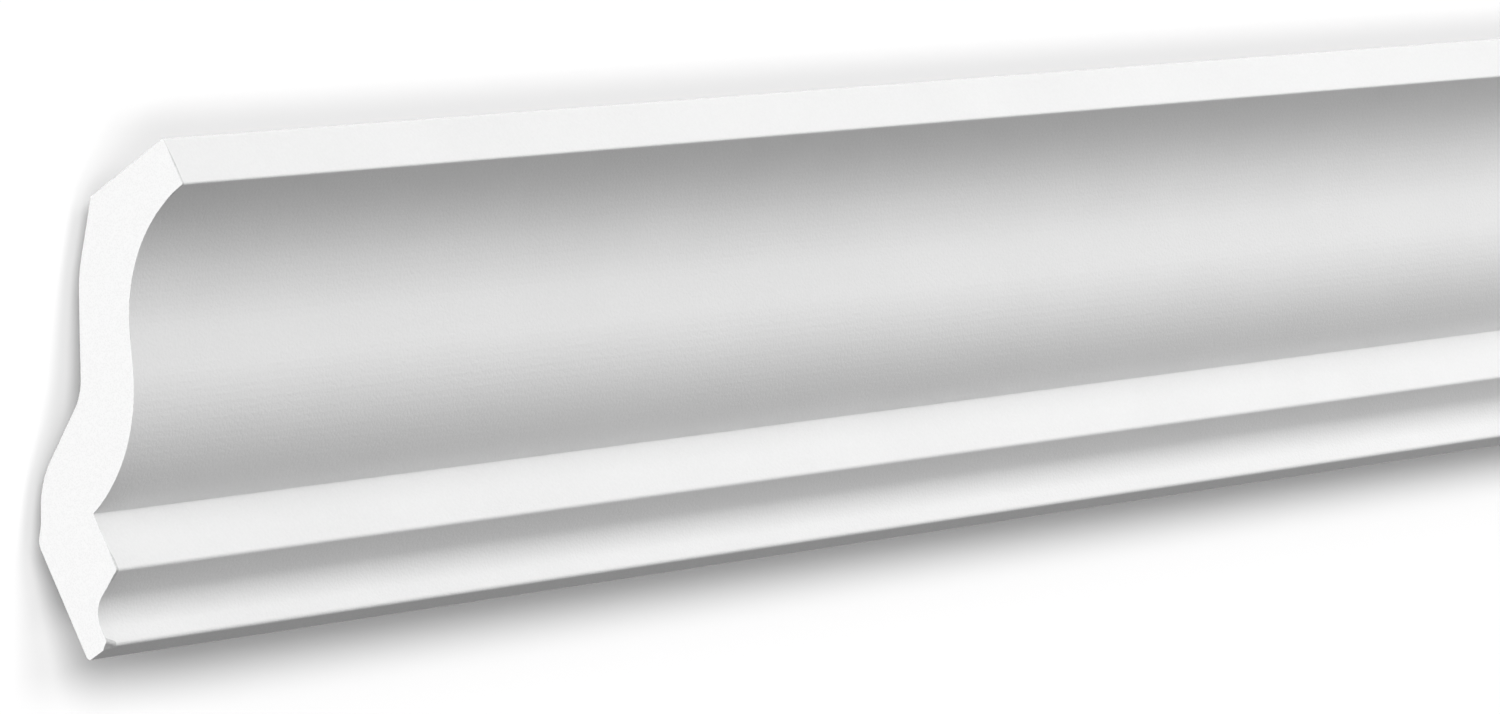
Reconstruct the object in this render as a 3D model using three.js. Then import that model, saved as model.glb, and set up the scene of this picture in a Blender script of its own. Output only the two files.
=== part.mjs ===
// A length of crown moulding, moulded in one piece of rigid foam and cut square at both ends.
//
// Units are millimetres. +X runs along the moulding, +Y points to the wall and +Z up to the ceiling.
// The origin is the centre of the flat that is glued to the wall.

import * as THREE from 'three';

// Driving dimensions, measured out from the wall plane and down from the ceiling plane
const LENGTH = 600;
const WALL_HEIGHT = 80; // from the ceiling down to the underside
const PROJECTION = 76; // from the wall out to the top fillet
const CEILING_FLAT = 24.3; // width of the flat that is glued to the ceiling
const TOP_FILLET = 10.6; // height of the upright band under the ceiling
const CYMA_FOOT = 55; // from the ceiling down to the foot of the cyma
const LOWER_FILLET = 12.9; // height of the upright band below the cyma
const LOWER_FILLET_OUT = 17.6; // from the wall out to that band
const UNDERSIDE = 7; // from the wall out to the front of the underside
const ORIGIN_DOWN = 66.5; // from the ceiling down to the middle of the wall flat

// The cyma: a cove, a short straight and a belly. Slopes are degrees below the horizontal.
const COVE_CORNER_OUT = 55.3; // where the level start of the cove and the straight would meet
const COVE_RADIUS = 31.8;
const CYMA_SLOPE = 64.5;
const BELLY_RADIUS = 35;
const CYMA_FOOT_SLOPE = 10;

// The cavetto under the lower fillet
const CAVETTO_SLOPE = 20;
const CAVETTO_RADIUS = 6;

// The hollow back, as straight legs from the ceiling flat down towards the wall, each rounded at its end
const BACK_LEGS = [
  { slope: 45.3, length: 16.6, radius: 30 },
  { slope: 59.1, length: 24.6, radius: 11 },
  { slope: 25.5, length: 21.9, radius: 18 },
  { slope: 57.6, length: 8.9, radius: 2 },
];
const BACK_LAST_SLOPE = 47.7;
const WALL_FLAT_TOP_RADIUS = 4;

// Small radii that the mould leaves on the arrises and in the inner corner
const ARRIS = 0.5;
const SOFT_ARRIS = 0.8;
const WALL_ARRIS = 1;
const INNER_CORNER = 0.2;

// The straight facets of a round stretch leave its true curve by no more than this.
const FACET_ERROR = 0.01;

// A corner of the section: how far out it stands, how far down, and the radius that rounds it
function corner(out, down, radius) {
  return { out, down, radius };
}

// The corner reached from another one by going down a slope towards the wall
function downSlope(from, slope, length, radius) {
  const angle = THREE.MathUtils.degToRad(slope);
  return corner(from.out - length * Math.cos(angle), from.down + length * Math.sin(angle), radius);
}

// The corner where a slope down from one corner meets a slope that ends at another
function meetingCorner(from, slope, to, endSlope, radius) {
  const fall = Math.tan(THREE.MathUtils.degToRad(slope));
  const endFall = Math.tan(THREE.MathUtils.degToRad(endSlope));
  const run = (to.down - from.down - endFall * (from.out - to.out)) / (fall - endFall);
  return corner(from.out - run, from.down + run * fall, radius);
}

// The corner where a slope down from another corner reaches a given distance from the wall
function slopeToOut(from, slope, out, radius) {
  const fall = Math.tan(THREE.MathUtils.degToRad(slope));
  return corner(out, from.down + (from.out - out) * fall, radius);
}

// The room side, from the ceiling down to the wall
function frontCorners() {
  const coveCorner = corner(COVE_CORNER_OUT, TOP_FILLET, COVE_RADIUS);
  const cymaFoot = corner(LOWER_FILLET_OUT, CYMA_FOOT, INNER_CORNER);
  const lowerFilletFoot = corner(LOWER_FILLET_OUT, CYMA_FOOT + LOWER_FILLET, SOFT_ARRIS);
  return [
    corner(PROJECTION, 0, ARRIS),
    corner(PROJECTION, TOP_FILLET, ARRIS),
    coveCorner,
    meetingCorner(coveCorner, CYMA_SLOPE, cymaFoot, CYMA_FOOT_SLOPE, BELLY_RADIUS),
    cymaFoot,
    lowerFilletFoot,
    slopeToOut(lowerFilletFoot, CAVETTO_SLOPE, UNDERSIDE, CAVETTO_RADIUS),
    corner(UNDERSIDE, WALL_HEIGHT, SOFT_ARRIS),
    corner(0, WALL_HEIGHT, WALL_ARRIS),
  ];
}

// The hidden side, from the ceiling down to the wall
function backCorners() {
  const corners = [corner(PROJECTION - CEILING_FLAT, 0, ARRIS)];
  for (const leg of BACK_LEGS) {
    corners.push(downSlope(corners.at(-1), leg.slope, leg.length, leg.radius));
  }
  corners.push(slopeToOut(corners.at(-1), BACK_LAST_SLOPE, 0, WALL_FLAT_TOP_RADIUS));
  return corners;
}

// The points of the arc that rounds a corner, starting and ending where it touches the two sides
function roundedCorner(before, at, after, radius) {
  const toBefore = before.clone().sub(at).normalize();
  const toAfter = after.clone().sub(at).normalize();
  const halfAngle = toBefore.angleTo(toAfter) / 2;
  const reach = radius / Math.tan(halfAngle);
  const start = at.clone().addScaledVector(toBefore, reach);
  const end = at.clone().addScaledVector(toAfter, reach);
  const inward = toBefore.clone().add(toAfter).normalize();
  const centre = at.clone().addScaledVector(inward, radius / Math.sin(halfAngle));
  const startAngle = start.clone().sub(centre).angle();
  const endAngle = end.clone().sub(centre).angle();
  const clockwise = toBefore.cross(toAfter) > 0;
  const step = 2 * Math.acos(1 - FACET_ERROR / radius);
  const steps = Math.ceil((Math.PI - 2 * halfAngle) / step);
  const arc = new THREE.ArcCurve(centre.x, centre.y, radius, startAngle, endAngle, clockwise);
  return arc.getPoints(steps);
}

// The closed outline of the section, in the Y Z plane of the moulding
function sectionShape() {
  const corners = [...backCorners(), ...frontCorners().reverse()];
  const points = corners.map(({ out, down }) => new THREE.Vector2(-out, ORIGIN_DOWN - down));
  const outline = corners.flatMap(({ radius }, index) => {
    const before = points.at(index - 1);
    const after = points[(index + 1) % points.length];
    return roundedCorner(before, points[index], after, radius);
  });
  return new THREE.Shape(outline);
}

// The section runs on unchanged for the whole length.
function makeMoulding() {
  const geometry = new THREE.ExtrudeGeometry(sectionShape(), { depth: LENGTH, bevelEnabled: false });
  const primedFoam = new THREE.MeshStandardMaterial({ color: 0xf1f1f0, roughness: 0.7, metalness: 0 });
  const moulding = new THREE.Mesh(geometry, primedFoam);
  moulding.name = 'crown_moulding';
  const alongY = new THREE.Vector3(0, 1, 0);
  const alongZ = new THREE.Vector3(0, 0, 1);
  const alongX = new THREE.Vector3(1, 0, 0);
  moulding.setRotationFromMatrix(new THREE.Matrix4().makeBasis(alongY, alongZ, alongX));
  moulding.position.x = -LENGTH / 2;
  return moulding;
}

const part = new THREE.Group();
part.add(makeMoulding());

export default part;
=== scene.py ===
"""The looks of a crown moulding length: its moulded skin, its sawn ends, the studio and the camera.

Units are metres. +X runs along the moulding, +Y points to the wall and +Z up to the ceiling.
"""

import math

import bpy
import numpy as np
from mathutils import Matrix, Vector, noise
from mathutils.geometry import delaunay_2d_cdt


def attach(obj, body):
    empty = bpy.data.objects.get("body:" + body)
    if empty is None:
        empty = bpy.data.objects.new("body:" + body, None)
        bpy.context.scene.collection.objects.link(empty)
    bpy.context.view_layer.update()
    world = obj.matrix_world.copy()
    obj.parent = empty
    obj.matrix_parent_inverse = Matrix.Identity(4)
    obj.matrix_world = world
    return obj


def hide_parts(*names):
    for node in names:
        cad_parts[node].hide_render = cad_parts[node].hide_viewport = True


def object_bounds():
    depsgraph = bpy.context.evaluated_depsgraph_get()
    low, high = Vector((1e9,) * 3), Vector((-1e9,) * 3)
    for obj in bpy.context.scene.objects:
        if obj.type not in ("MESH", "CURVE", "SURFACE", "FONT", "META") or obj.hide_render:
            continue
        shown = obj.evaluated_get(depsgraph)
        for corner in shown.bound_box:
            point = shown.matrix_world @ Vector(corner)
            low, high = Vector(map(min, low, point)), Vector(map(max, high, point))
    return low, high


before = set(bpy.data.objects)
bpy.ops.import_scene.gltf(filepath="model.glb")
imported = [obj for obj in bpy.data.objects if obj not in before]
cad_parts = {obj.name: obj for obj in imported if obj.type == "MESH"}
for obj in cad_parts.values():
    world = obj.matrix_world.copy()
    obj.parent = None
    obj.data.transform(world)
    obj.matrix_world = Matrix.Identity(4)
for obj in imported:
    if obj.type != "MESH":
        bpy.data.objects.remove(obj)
cad_low, cad_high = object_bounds()

MM = 0.001
NODE = "crown_moulding"

# Points closer than this are one point, in the section and in the triangles of a sawn face.
TOUCH = 0.002 * MM
TRIANGLE_TOUCH = 0.000002 * MM

# The kind of triangulation that keeps only the triangles inside the outline
INSIDE_ONLY = 1

# Steps of the moulded faces: round the section, beside each arris, and along the length
SIDE_STEP = 1 * MM
ARRIS_STEP = 0.15 * MM
RING_STEP = 12 * MM

# The saw tears the skin back a little all round the cut: its least reach along X, and its depth as a share
# of its reach
TEAR_LEAST = 0.05 * MM
TEAR_SLOPE = 0.35

# Wider tears at the low X end, on the two fillets: their middle as a distance out from the wall and down
# from the ceiling, half their width along the section, and their reach along X
LOW_END_TEARS = (
    (76 * MM, 9 * MM, 8 * MM, 0.35 * MM),
    (17.6 * MM, 67.9 * MM, 5 * MM, 0.5 * MM),
)

# A notch in the underside's arris at that end: its place and half its width as above, its reach along X,
# and how far it rises into the moulding
NOTCH = (7 * MM, 80 * MM, 1.8 * MM)
NOTCH_REACH = 2.4 * MM
NOTCH_RISE = 0.8 * MM

# Scattered tears at the high X end: their size along the section and their most reach along X
HIGH_END_TEAR_SIZE = 3 * MM
HIGH_END_TEAR_REACH = 1.2 * MM

# The sawn foam: the spacing of its points, the share of it by which they are shaken, the seed of the
# shaking, and the depth and size of the cells that the saw opens
FOAM_STEP = 0.5 * MM
FOAM_SHAKE = 0.3
FOAM_SEED = 7
CELL_DEPTH = 0.06 * MM
CELL_SIZE = 0.9 * MM

# The cover of primer is stored on the mesh under this name. It reaches this far onto the hidden side.
PRIMER = "primer"
OVERSPRAY = 8 * MM

# The materials, in the order of their numbers. The torn strip's material is coloured darker, as painted
# shade.
SKIN, FOAM, TORN = range(3)

# The primed skin: the size of its stipple and of its clouds, the width of its streaks and how many times as
# long they are, and the depth of its relief
STIPPLE_SIZE = 0.6 * MM
CLOUD_SIZE = 30 * MM
STREAK_WIDTH = 1.5 * MM
STREAK_STRETCH = 60
SKIN_RELIEF = 0.15 * MM

# Sawn and torn foam: the size of the pores and the depth of their relief
SAWN_PORE = 0.4 * MM
SAWN_RELIEF = 0.05 * MM
TORN_PORE = 0.7 * MM
TORN_RELIEF = 0.2 * MM

# The camera, fitted to the edges in the photograph: its focal length in pixels of the picture, its sensor in
# millimetres, its place, and its angles in degrees
PICTURE_WIDTH = 1500
FOCAL_LENGTH = 7056.3
SENSOR_WIDTH = 36
CAMERA_PLACE = (-1.3053, -0.9758, -0.3752)
CAMERA_HEADING = 51.94
CAMERA_PITCH = 14.57
CAMERA_ROLL = -24.58

# The floor lies far below under a light of its own, with its spread in degrees. What shows past the floor is
# as pale, and throws even light from all round.
FLOOR_HEIGHT = -6
FLOOR_SIZE = 200
FLOOR_LIGHT = 1
FLOOR_LIGHT_SPREAD = 60
PALE = 0.6
AMBIENT = 0.14

# Panels that light the moulding from the room: name, azimuth, elevation, distance and strength
PANEL_SIZE = 0.8
PANEL_AIM = Vector((0, -0.04, 0.03))
PANELS = (
    ("key", 0, 12, 2.4, 0.45),
    ("high", 15, 30, 2.4, 0.205),
    ("low", 0, -30, 2.4, 0.185),
    ("side", 50, -30, 1.2, 0.165),
)

# Suns that light its ends and its hidden side: name, azimuth, elevation, strength and spread in degrees
SUNS = (
    ("low_end", -90, 12, 0.8, 40),
    ("high_end", 90, 12, 0.63, 40),
    ("top", 180, 70, 0.37, 60),
    ("back", 200, 10, 0.36, 60),
)

# A backdrop stands close behind the moulding, at a slope. It is dark, so that light from the moulding
# doesn't show on it. Strong suns of its own make it white, and a little glow keeps the shadow on it pale.
# Each sun has the degrees that it leans up the slope and towards the low X end, the share of white that it
# gives, and its spread.
BACKDROP_SIZE = 80
BACKDROP_GAP = 8 * MM
BACKDROP_SLOPE = 45
BACKDROP_TONE = 0.05
BACKDROP_GLOW = 0.1
BACKDROP_SUNS = (
    ("backdrop_front", 35, 46, 0.47, 16),
    ("backdrop_left", 45, 64, 0.09, 16),
    ("backdrop_right", 35, 25, 0.14, 16),
    ("backdrop_low_left", 5, 42, 0.11, 16),
    ("backdrop_low_right", 5, 25, 0.1, 16),
)


# The section


def snapped(length):
    """The length, to the nearest step at which points are told apart."""
    return round(length / TOUCH) * TOUCH


def section_outline(solid):
    """The section as (y, z) points in order: the edges at the solid's low X end that only one face uses."""
    vertices = solid.data.vertices
    edges = set()
    for polygon in solid.data.polygons:
        corners = [vertices[index].co for index in polygon.vertices]
        if all(corner.x < cad_low.x + TOUCH for corner in corners):
            points = [(snapped(corner.y), snapped(corner.z)) for corner in corners]
            edges.update(zip(points, points[1:] + points[:1]))
    following = {start: end for start, end in edges if (end, start) not in edges}
    outline = [min(following)]
    while len(outline) < len(following):
        outline.append(following[outline[-1]])
    return np.array(outline)


def cut_side(start, end):
    """Points from start up to end: a short step beside each arris, and even steps between."""
    length = np.linalg.norm(end - start)
    stops = [0.0]
    if length > SIDE_STEP:
        count = math.ceil((length - 2 * ARRIS_STEP) / SIDE_STEP)
        stops.extend(np.linspace(ARRIS_STEP, length - ARRIS_STEP, count + 1))
    return [start + (end - start) * stop / length for stop in stops]


def refined(outline):
    """The outline with its long sides cut into steps."""
    sides = zip(outline, np.roll(outline, -1, axis=0))
    return np.array([point for start, end in sides for point in cut_side(start, end)])


def outward_normals(outline):
    """The outward direction at each point of the outline."""
    along = np.roll(outline, -1, axis=0) - np.roll(outline, 1, axis=0)
    normals = np.column_stack((-along[:, 1], along[:, 0]))
    return normals / np.linalg.norm(normals, axis=1)[:, None]


def primer_cover(outline, normals):
    """How well the primer covers each point: fully on the room side, and less and less round its edges."""
    steps = np.linalg.norm(np.roll(outline, -1, axis=0) - outline, axis=1)
    travel = np.cumsum(steps) - steps
    shown = normals.sum(axis=1) < 0
    apart = np.abs(travel[:, None] - travel[shown][None, :])
    apart = np.minimum(apart, steps.sum() - apart)
    return np.clip(1 - apart.min(axis=1) / OVERSPRAY, 0, 1)


# The sawn ends


def nearness(outline, out, down, half_width):
    """How near each point is to a place: 1 within half of half_width, fading to 0 at half_width."""
    distances = np.hypot(outline[:, 0] + out, outline[:, 1] - (cad_high.z - down))
    return np.clip(2 - 2 * distances / half_width, 0, 1)


def tear_reaches(outline, end_x):
    """How far along X the saw has torn the skin back at each point of the outline."""
    if end_x > 0:
        levels = [noise.noise(Vector((end_x, y, z)) / HIGH_END_TEAR_SIZE) for y, z in outline]
        return np.maximum(TEAR_LEAST, HIGH_END_TEAR_REACH * np.array(levels))
    reaches = np.full(len(outline), TEAR_LEAST)
    for *place, reach in LOW_END_TEARS:
        reaches = np.maximum(reaches, reach * nearness(outline, *place))
    return reaches


def torn_edges(outline, normals, end_x):
    """The edge of the sawn face, and how far along X the skin begins at each of its points."""
    reaches = tear_reaches(outline, end_x)
    cut = outline - normals * (reaches * TEAR_SLOPE)[:, None]
    if end_x < 0:
        notch = nearness(outline, *NOTCH)
        reaches = np.maximum(reaches, NOTCH_REACH * notch)
        cut[:, 1] += NOTCH_RISE * notch
    return cut, reaches


def inside(points, outline):
    """Whether each point lies inside the closed outline."""
    result = np.zeros(len(points), bool)
    for start, end in zip(outline, np.roll(outline, -1, axis=0)):
        crosses = (start[1] > points[:, 1]) != (end[1] > points[:, 1])
        if crosses.any():
            share = (points[:, 1] - start[1]) / (end[1] - start[1])
            result ^= crosses & (points[:, 0] < start[0] + share * (end[0] - start[0]))
    return result


def foam_points(outline):
    """A grid of points inside the outline, shaken so that the sawn face has no rows."""
    low, high = outline.min(axis=0), outline.max(axis=0)
    grid = np.meshgrid(*(np.arange(first, last, FOAM_STEP) for first, last in zip(low, high)))
    points = np.stack(grid, axis=-1).reshape(-1, 2)
    shake = np.random.default_rng(FOAM_SEED).uniform(-FOAM_SHAKE, FOAM_SHAKE, points.shape)
    points = points + shake * FOAM_STEP
    return points[inside(points, outline)]


def cell_depth(place):
    """How far the sawn face is sunk at a place: most in the middle of a cell."""
    distances, _ = noise.voronoi(place / CELL_SIZE)
    return CELL_DEPTH * max(0.0, 1 - 2 * distances[0])


# The body


class MeshParts:
    """Vertices and faces that grow together, each face's material, and the rings where shading breaks."""

    def __init__(self):
        self.vertices = []
        self.faces = []
        self.materials = []
        self.sharp_rings = []

    def add_vertices(self, vertices):
        """Adds vertices and returns the number of the first."""
        first = len(self.vertices)
        self.vertices.extend(vertices)
        return first

    def add_ring(self, x, outline):
        """Adds a ring of vertices, like add_vertices. x is one place for all of them or one for each."""
        places = np.broadcast_to(x, len(outline))
        return self.add_vertices([(float(place), y, z) for place, (y, z) in zip(places, outline)])

    def add_face(self, face, material):
        """Adds a face, as the numbers of its vertices, and its material."""
        self.faces.append(face)
        self.materials.append(material)

    def join_rings(self, first, second, count, material):
        """Faces between two rings, where the second is further along +X."""
        for i in range(count):
            j = (i + 1) % count
            self.add_face((first + j, first + i, second + i, second + j), material)


def add_sawn_end(parts, outline, normals, end_x, inward):
    """One end: its sawn face and the torn strip round it. inward is the sign of the way in along X.

    Returns the two rings of the strip, the sawn face's first.
    """
    cut, reaches = torn_edges(outline, normals, end_x)
    rim = parts.add_ring(end_x, cut)
    skin = parts.add_ring(end_x + inward * reaches, outline)
    parts.sharp_rings.extend((rim, skin))
    points = [Vector(point) for point in np.vstack((cut, foam_points(cut)))]
    edges = [(i, (i + 1) % len(cut)) for i in range(len(cut))]
    coords, _, faces, origins, _, _ = delaunay_2d_cdt(points, edges, [], INSIDE_ONLY, TRIANGLE_TOUCH)
    numbers = []
    for coord, origin in zip(coords, origins):
        if origin[0] < len(cut):
            numbers.append(rim + origin[0])
        else:
            sunk = cell_depth(Vector((end_x, *coord)))
            numbers.append(parts.add_vertices([(end_x + inward * sunk, *coord)]))
    for face in faces:
        corners = [numbers[index] for index in face]
        parts.add_face(corners[::-inward], FOAM)
    return rim, skin


def make_parts(outline):
    """The moulding: rings of the section along X, closed by the two sawn ends."""
    parts = MeshParts()
    normals = outward_normals(outline)
    low_rim, low_skin = add_sawn_end(parts, outline, normals, cad_low.x, 1)
    high_rim, high_skin = add_sawn_end(parts, outline, normals, cad_high.x, -1)
    between = round((cad_high.x - cad_low.x) / RING_STEP) - 1
    places = np.linspace(cad_low.x + RING_STEP, cad_high.x - RING_STEP, between)
    rings = [low_skin, *(parts.add_ring(x, outline) for x in places), high_skin]
    for first, second in zip(rings, rings[1:]):
        parts.join_rings(first, second, len(outline), SKIN)
    parts.join_rings(low_rim, low_skin, len(outline), TORN)
    parts.join_rings(high_skin, high_rim, len(outline), TORN)
    return parts


def sharpen(mesh, rings, count):
    """Keeps the shading of the skin, the torn strip and the sawn face apart."""
    ring_of = {first + index: first for first in rings for index in range(count)}
    for edge in mesh.edges:
        start, end = (ring_of.get(index) for index in edge.vertices)
        edge.use_edge_sharp = start is not None and start == end


def paint_primer(mesh, outline):
    """Stores the cover of primer at each vertex, by the outline point nearest to it."""
    cover = primer_cover(outline, outward_normals(outline))
    places = np.empty(len(mesh.vertices) * 3)
    mesh.vertices.foreach_get("co", places)
    places = places.reshape(-1, 3)[:, 1:]
    values = [cover[np.abs(outline - place).sum(axis=1).argmin()] for place in places]
    mesh.attributes.new(PRIMER, "FLOAT", "POINT").data.foreach_set("value", values)


def add_body(name, section, materials):
    """The moulding as one mesh, with the materials in the order of their numbers."""
    outline = refined(section)
    parts = make_parts(outline)
    mesh = bpy.data.meshes.new(name)
    mesh.from_pydata(parts.vertices, [], parts.faces)
    for material in materials:
        mesh.materials.append(material)
    mesh.polygons.foreach_set("material_index", parts.materials)
    mesh.polygons.foreach_set("use_smooth", [True] * len(parts.faces))
    sharpen(mesh, parts.sharp_rings, len(outline))
    paint_primer(mesh, outline)
    body = bpy.data.objects.new(name, mesh)
    bpy.context.scene.collection.objects.link(body)
    return body


# Materials


def new_material(name, roughness, specular):
    """A new material, with its node tree and its shader."""
    material = bpy.data.materials.new(name)
    material.use_nodes = True
    shader = material.node_tree.nodes["Principled BSDF"]
    shader.inputs["Roughness"].default_value = roughness
    shader.inputs["Specular IOR Level"].default_value = specular
    return material, material.node_tree, shader


def add_texture(tree, kind, size, stretch=1):
    """A texture with marks of about this size, drawn out along the moulding by the stretch."""
    coordinates = tree.nodes.new("ShaderNodeTexCoord")
    mapping = tree.nodes.new("ShaderNodeMapping")
    mapping.inputs["Scale"].default_value = (1 / (size * stretch), 1 / size, 1 / size)
    texture = tree.nodes.new(kind)
    texture.inputs["Scale"].default_value = 1
    tree.links.new(coordinates.outputs["Object"], mapping.inputs["Vector"])
    tree.links.new(mapping.outputs["Vector"], texture.inputs["Vector"])
    return texture


def clouds(tree, size, detail, stretch=1):
    """Soft marks of many sizes, this one the largest."""
    texture = add_texture(tree, "ShaderNodeTexNoise", size, stretch)
    texture.inputs["Detail"].default_value = detail
    return texture.outputs["Fac"]


def cells(tree, size):
    """Round cells of about this size: 0 in the middle of each."""
    return add_texture(tree, "ShaderNodeTexVoronoi", size).outputs["Distance"]


def grey(tone):
    """A colour without tint."""
    return (tone, tone, tone)


def tinted(tree, value, stops):
    """A colour that follows a value. Each stop is a value and its colour."""
    ramp = tree.nodes.new("ShaderNodeValToRGB")
    while len(ramp.color_ramp.elements) < len(stops):
        ramp.color_ramp.elements.new(1)
    for element, (position, colour) in zip(ramp.color_ramp.elements, stops):
        element.position = position
        element.color = (*colour, 1)
    tree.links.new(value, ramp.inputs["Fac"])
    return ramp.outputs["Color"]


def mixed(tree, first, second, share):
    """The first value with a share of the second."""
    node = tree.nodes.new("ShaderNodeMix")
    node.inputs["Factor"].default_value = share
    tree.links.new(first, node.inputs["A"])
    tree.links.new(second, node.inputs["B"])
    return node.outputs["Result"]


def add_bump(tree, shader, height, depth, strength):
    """Shades the surface as if a height from 0 to 1 made it rise by the depth."""
    bump = tree.nodes.new("ShaderNodeBump")
    bump.inputs["Distance"].default_value = depth
    bump.inputs["Strength"].default_value = strength
    tree.links.new(height, bump.inputs["Height"])
    tree.links.new(bump.outputs["Normal"], shader.inputs["Normal"])


def moulded_skin():
    """Sprayed white primer on the room side, thinning out to the bare moulded skin of the hidden side."""
    material, tree, shader = new_material("moulded_skin", roughness=0.6, specular=0.35)
    cover = tree.nodes.new("ShaderNodeAttribute")
    cover.attribute_name = PRIMER
    stipple = clouds(tree, STIPPLE_SIZE, detail=2)
    speckled = mixed(tree, clouds(tree, CLOUD_SIZE, detail=5), stipple, share=0.5)
    cloudy = mixed(tree, cover.outputs["Fac"], speckled, share=0.2)
    bare = ((0.0, (0.76, 0.755, 0.735)), (0.2, (0.82, 0.815, 0.8)))
    primed = ((0.8, grey(0.805)), (1.0, grey(0.9)))
    tree.links.new(tinted(tree, cloudy, bare + primed), shader.inputs["Base Color"])
    streaks = clouds(tree, STREAK_WIDTH, detail=2, stretch=STREAK_STRETCH)
    relief = mixed(tree, stipple, streaks, share=0.2)
    add_bump(tree, shader, relief, SKIN_RELIEF, strength=0.6)
    return material


def sawn_foam():
    """Bare rigid foam with its small cells cut open, coloured darker in the middle of each pore as painted
    shade in the pits.
    """
    material, tree, shader = new_material("sawn_foam", roughness=0.95, specular=0.2)
    pores = cells(tree, SAWN_PORE)
    # Painted shade: darker in the middle of each pore, where the bump sinks it.
    stops = ((0.0, grey(0.81)), (0.6, grey(0.88)))
    tree.links.new(tinted(tree, pores, stops), shader.inputs["Base Color"])
    add_bump(tree, shader, pores, SAWN_RELIEF, strength=0.25)
    return material


def torn_edge_painted_shade():
    """Foam torn open by the saw, coloured darker as painted shade that stands in for the shade in its deep
    cells.
    """
    material, tree, shader = new_material("torn_edge_painted_shade", roughness=0.95, specular=0.2)
    pores = clouds(tree, TORN_PORE, detail=3)
    # Painted shade: the torn foam is coloured darker than the sawn face, standing in for the shade in its
    # deep cells.
    stops = ((0.3, grey(0.6)), (0.7, grey(0.72)))
    tree.links.new(tinted(tree, pores, stops), shader.inputs["Base Color"])
    add_bump(tree, shader, pores, TORN_RELIEF, strength=0.4)
    return material


def plain_grey(name, tone, glow=0):
    """A matt grey for the stage, with a white glow of its own."""
    material, _, shader = new_material(name, roughness=1, specular=0)
    shader.inputs["Base Color"].default_value = (*grey(tone), 1)
    shader.inputs["Emission Color"].default_value = (*grey(1), 1)
    shader.inputs["Emission Strength"].default_value = glow
    return material


def seen_from_the_front_only(material):
    """Lets the back of the material's faces be looked through."""
    nodes = material.node_tree.nodes
    links = material.node_tree.links
    geometry = nodes.new("ShaderNodeNewGeometry")
    mix = nodes.new("ShaderNodeMixShader")
    front, back = mix.inputs["Shader"], mix.inputs["Shader_001"]
    links.new(geometry.outputs["Backfacing"], mix.inputs["Fac"])
    links.new(nodes["Principled BSDF"].outputs["BSDF"], front)
    links.new(nodes.new("ShaderNodeBsdfTransparent").outputs["BSDF"], back)
    links.new(mix.outputs["Shader"], nodes["Material Output"].inputs["Surface"])
    return material


# The studio


def towards(azimuth, elevation):
    """The direction to a place round the moulding: azimuth 0 is the room side, and 90 the high X end."""
    across = math.radians(azimuth)
    rise = math.radians(elevation)
    return Vector((math.sin(across) * math.cos(rise), -math.cos(across) * math.cos(rise), math.sin(rise)))


def add_light(name, kind, way, brightness, reaches):
    """A light that shines from a direction and reaches only some objects."""
    data = bpy.data.lights.new(name, kind)
    data.energy = brightness
    light = bpy.data.objects.new(name, data)
    light.rotation_mode = "QUATERNION"
    light.rotation_quaternion = way.to_track_quat("Z", "Y")
    light.visible_camera = False
    bpy.context.scene.collection.objects.link(light)
    group = bpy.data.collections.new(name + "_reach")
    for target in reaches:
        group.objects.link(target)
    light.light_linking.receiver_collection = group
    return light


def add_sun(name, way, strength, spread, reaches):
    """An even light without gloss. Strength 1 shows a white face that looks at it as white."""
    light = add_light(name, "SUN", way, strength * math.pi, reaches)
    light.data.angle = math.radians(spread)
    light.visible_glossy = False


def add_panel(name, way, distance, strength, reaches):
    """A square light that falls off along the moulding. Its strength counts as a sun's in the middle."""
    light = add_light(name, "AREA", way, strength * (math.pi * distance) ** 2, reaches)
    light.data.size = PANEL_SIZE
    light.location = PANEL_AIM + way * distance


def add_world():
    """Even light from all round. The camera sees it as pale as the floor that it meets."""
    world = bpy.data.worlds.new("studio")
    world.use_nodes = True
    tree = world.node_tree
    path = tree.nodes.new("ShaderNodeLightPath")
    strength = tree.nodes.new("ShaderNodeMapRange")
    strength.inputs["To Min"].default_value = AMBIENT
    strength.inputs["To Max"].default_value = PALE
    background = tree.nodes["Background"]
    background.inputs["Color"].default_value = (*grey(1), 1)
    tree.links.new(path.outputs["Is Camera Ray"], strength.inputs["Value"])
    tree.links.new(strength.outputs["Result"], background.inputs["Strength"])
    bpy.context.scene.world = world


def add_sheet(name, centre, facing, size, material):
    """A flat square of the stage. It casts no shadow and throws no light back."""
    half = size / 2
    corners = [(-half, -half, 0), (half, -half, 0), (half, half, 0), (-half, half, 0)]
    mesh = bpy.data.meshes.new(name)
    mesh.from_pydata(corners, [], [(0, 1, 2, 3)])
    mesh.materials.append(material)
    sheet = bpy.data.objects.new(name, mesh)
    sheet.rotation_mode = "QUATERNION"
    sheet.rotation_quaternion = facing.to_track_quat("Z", "Y")
    sheet.location = centre
    sheet.visible_shadow = False
    sheet.visible_diffuse = False
    sheet.visible_glossy = False
    bpy.context.scene.collection.objects.link(sheet)
    return sheet


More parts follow.
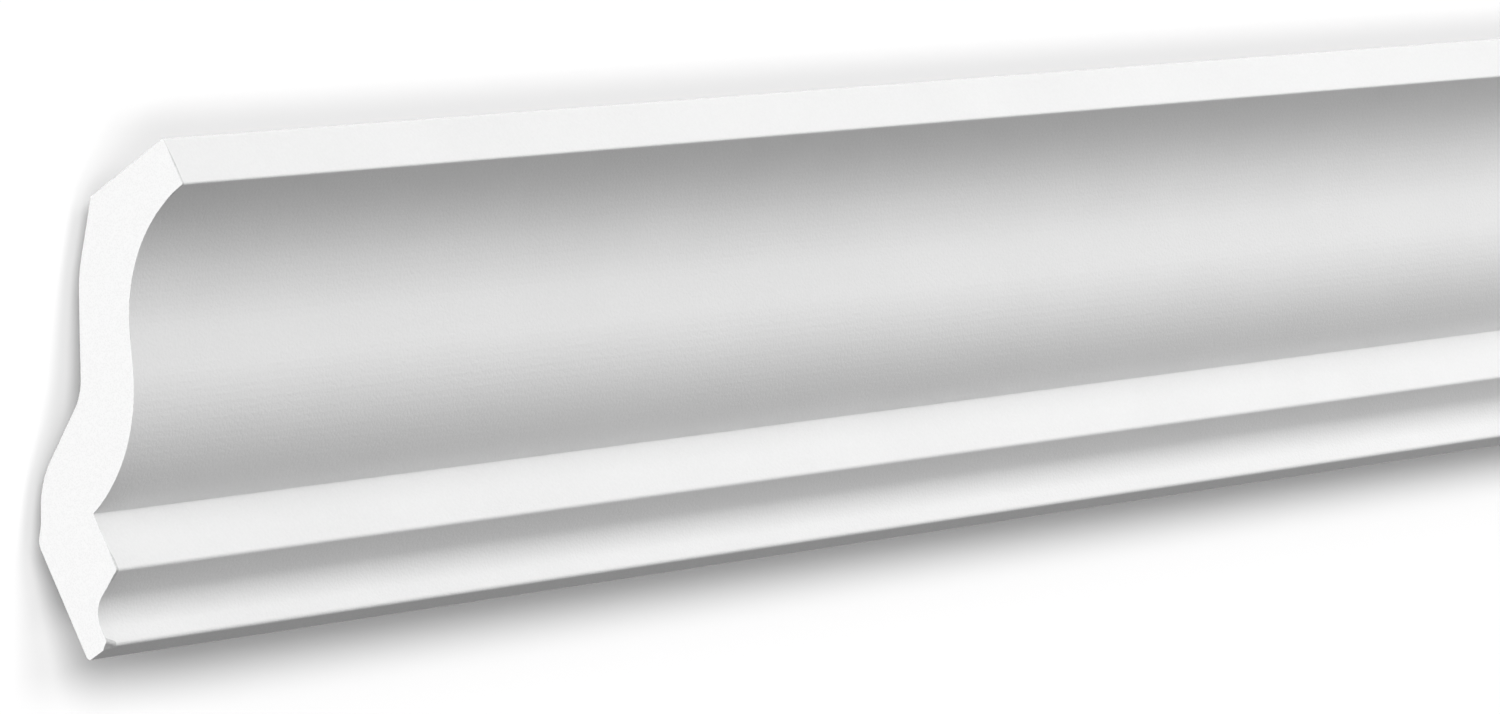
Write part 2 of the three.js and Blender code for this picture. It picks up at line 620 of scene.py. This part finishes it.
def add_floor():
    """A pale floor under a light of its own, as bright as what shows past it."""
    up = Vector((0, 0, 1))
    pale = plain_grey("floor_white", PALE / (FLOOR_LIGHT + AMBIENT))
    floor = add_sheet("floor", up * FLOOR_HEIGHT, up, FLOOR_SIZE, pale)
    add_sun("floor_light", up, FLOOR_LIGHT, FLOOR_LIGHT_SPREAD, (floor,))


def add_backdrop(section):
    """A sloping sheet close behind the moulding, and the suns that throw the moulding's shadow on it."""
    facing = towards(0, -BACKDROP_SLOPE)
    slope_up = towards(0, 90 - BACKDROP_SLOPE)
    lowest = min(facing.dot((0, y, z)) for y, z in section)
    dark = seen_from_the_front_only(plain_grey("backdrop_white", BACKDROP_TONE, BACKDROP_GLOW))
    backdrop = add_sheet("backdrop", facing * (lowest - BACKDROP_GAP), facing, BACKDROP_SIZE, dark)
    for name, lean, aside, share, spread in BACKDROP_SUNS:
        rise = math.tan(math.radians(lean))
        side = math.tan(math.radians(aside))
        way = (facing + slope_up * rise - Vector((side, 0, 0))).normalized()
        add_sun(name, way, share / way.dot(facing) / BACKDROP_TONE, spread, (backdrop,))


def add_studio(body, section):
    """Everything round the moulding, and the lights that reach it."""
    add_world()
    add_floor()
    add_backdrop(section)
    for name, azimuth, elevation, distance, strength in PANELS:
        add_panel(name, towards(azimuth, elevation), distance, strength, (body,))
    for name, azimuth, elevation, strength, spread in SUNS:
        add_sun(name, towards(azimuth, elevation), strength, spread, (body,))


def add_camera():
    """The view of the photograph."""
    data = bpy.data.cameras.new("camera")
    data.sensor_width = SENSOR_WIDTH
    data.lens = SENSOR_WIDTH * FOCAL_LENGTH / PICTURE_WIDTH
    camera = bpy.data.objects.new("camera", data)
    heading = Matrix.Rotation(-math.radians(CAMERA_HEADING), 4, "Z")
    pitch = Matrix.Rotation(math.radians(90 + CAMERA_PITCH), 4, "X")
    roll = Matrix.Rotation(math.radians(CAMERA_ROLL), 4, "Z")
    camera.matrix_world = Matrix.Translation(CAMERA_PLACE) @ heading @ pitch @ roll
    bpy.context.scene.collection.objects.link(camera)
    bpy.context.scene.camera = camera


section = section_outline(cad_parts[NODE])
body = add_body("moulding_body", section, (moulded_skin(), sawn_foam(), torn_edge_painted_shade()))
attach(body, "root")
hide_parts(NODE)
add_studio(body, section)
add_camera()
bpy.context.scene.view_settings.view_transform = "Standard"
